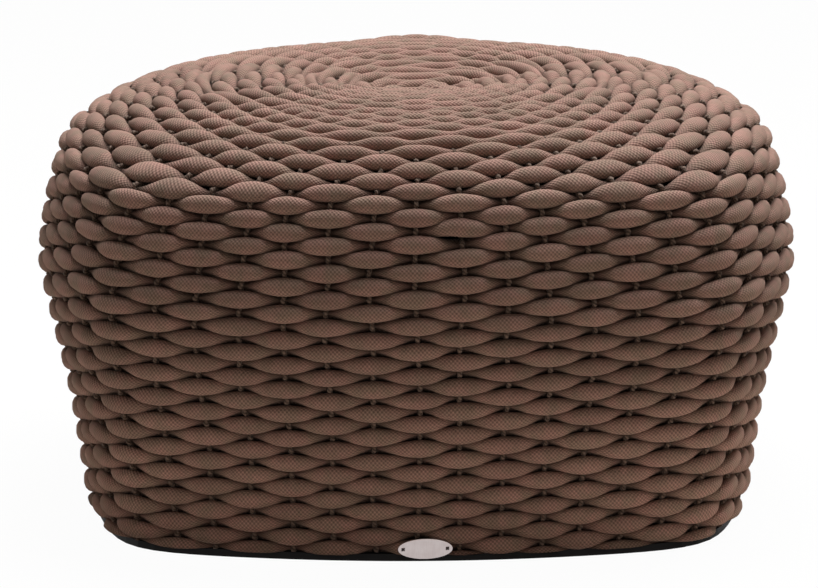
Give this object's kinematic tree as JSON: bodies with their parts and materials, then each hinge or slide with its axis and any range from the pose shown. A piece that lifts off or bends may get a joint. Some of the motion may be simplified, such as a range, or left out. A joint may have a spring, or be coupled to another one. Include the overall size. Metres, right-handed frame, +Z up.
{
  "type": "outdoor ottoman footstool",
  "caption": "Barrel-shaped outdoor footstool: thick cord woven in level courses over a light frame, flat spiral top, black base board and a blank oval tag.",
  "frame": {"origin": "on the floor under the middle of the footstool", "axes": "+Z up, -Y towards the front with the oval tag, +X to the right seen from the front"},
  "size_m": [0.6998, 0.6998, 0.3881],
  "materials": {
    "rope": "braided outdoor cord, matt",
    "frame_bar": "powder-coated aluminium bar",
    "base_board": "black outdoor board, satin",
    "glide": "moulded black nylon",
    "screw": "stainless steel",
    "tag": "stamped metal plate, satin, blank",
    "tag_stitch": "dark sewing thread"
  },
  "bodies": {
    "root": {"base_board": "base_board", "base_ring": "frame_bar", "belly_hoop": "frame_bar", "glide_left_back": "glide", "glide_left_front": "glide", "glide_right_back": "glide", "glide_right_front": "glide", "hub": "frame_bar", "rib_1": "frame_bar", "rib_2": "frame_bar", "rib_3": "frame_bar", "rib_4": "frame_bar", "rib_5": "frame_bar", "rib_6": "frame_bar", "rib_7": "frame_bar", "rib_8": "frame_bar", "rope_a": "rope", "rope_b": "rope", "rope_c": "rope", "rope_d": "rope", "screw_left_back": "screw", "screw_left_front": "screw", "screw_right_back": "screw", "screw_right_front": "screw", "shoulder_hoop": "frame_bar", "tag": "tag", "tag_stitch_left": "tag_stitch", "tag_stitch_right": "tag_stitch", "top_hoop": "frame_bar"}
  },
  "joints": []
}
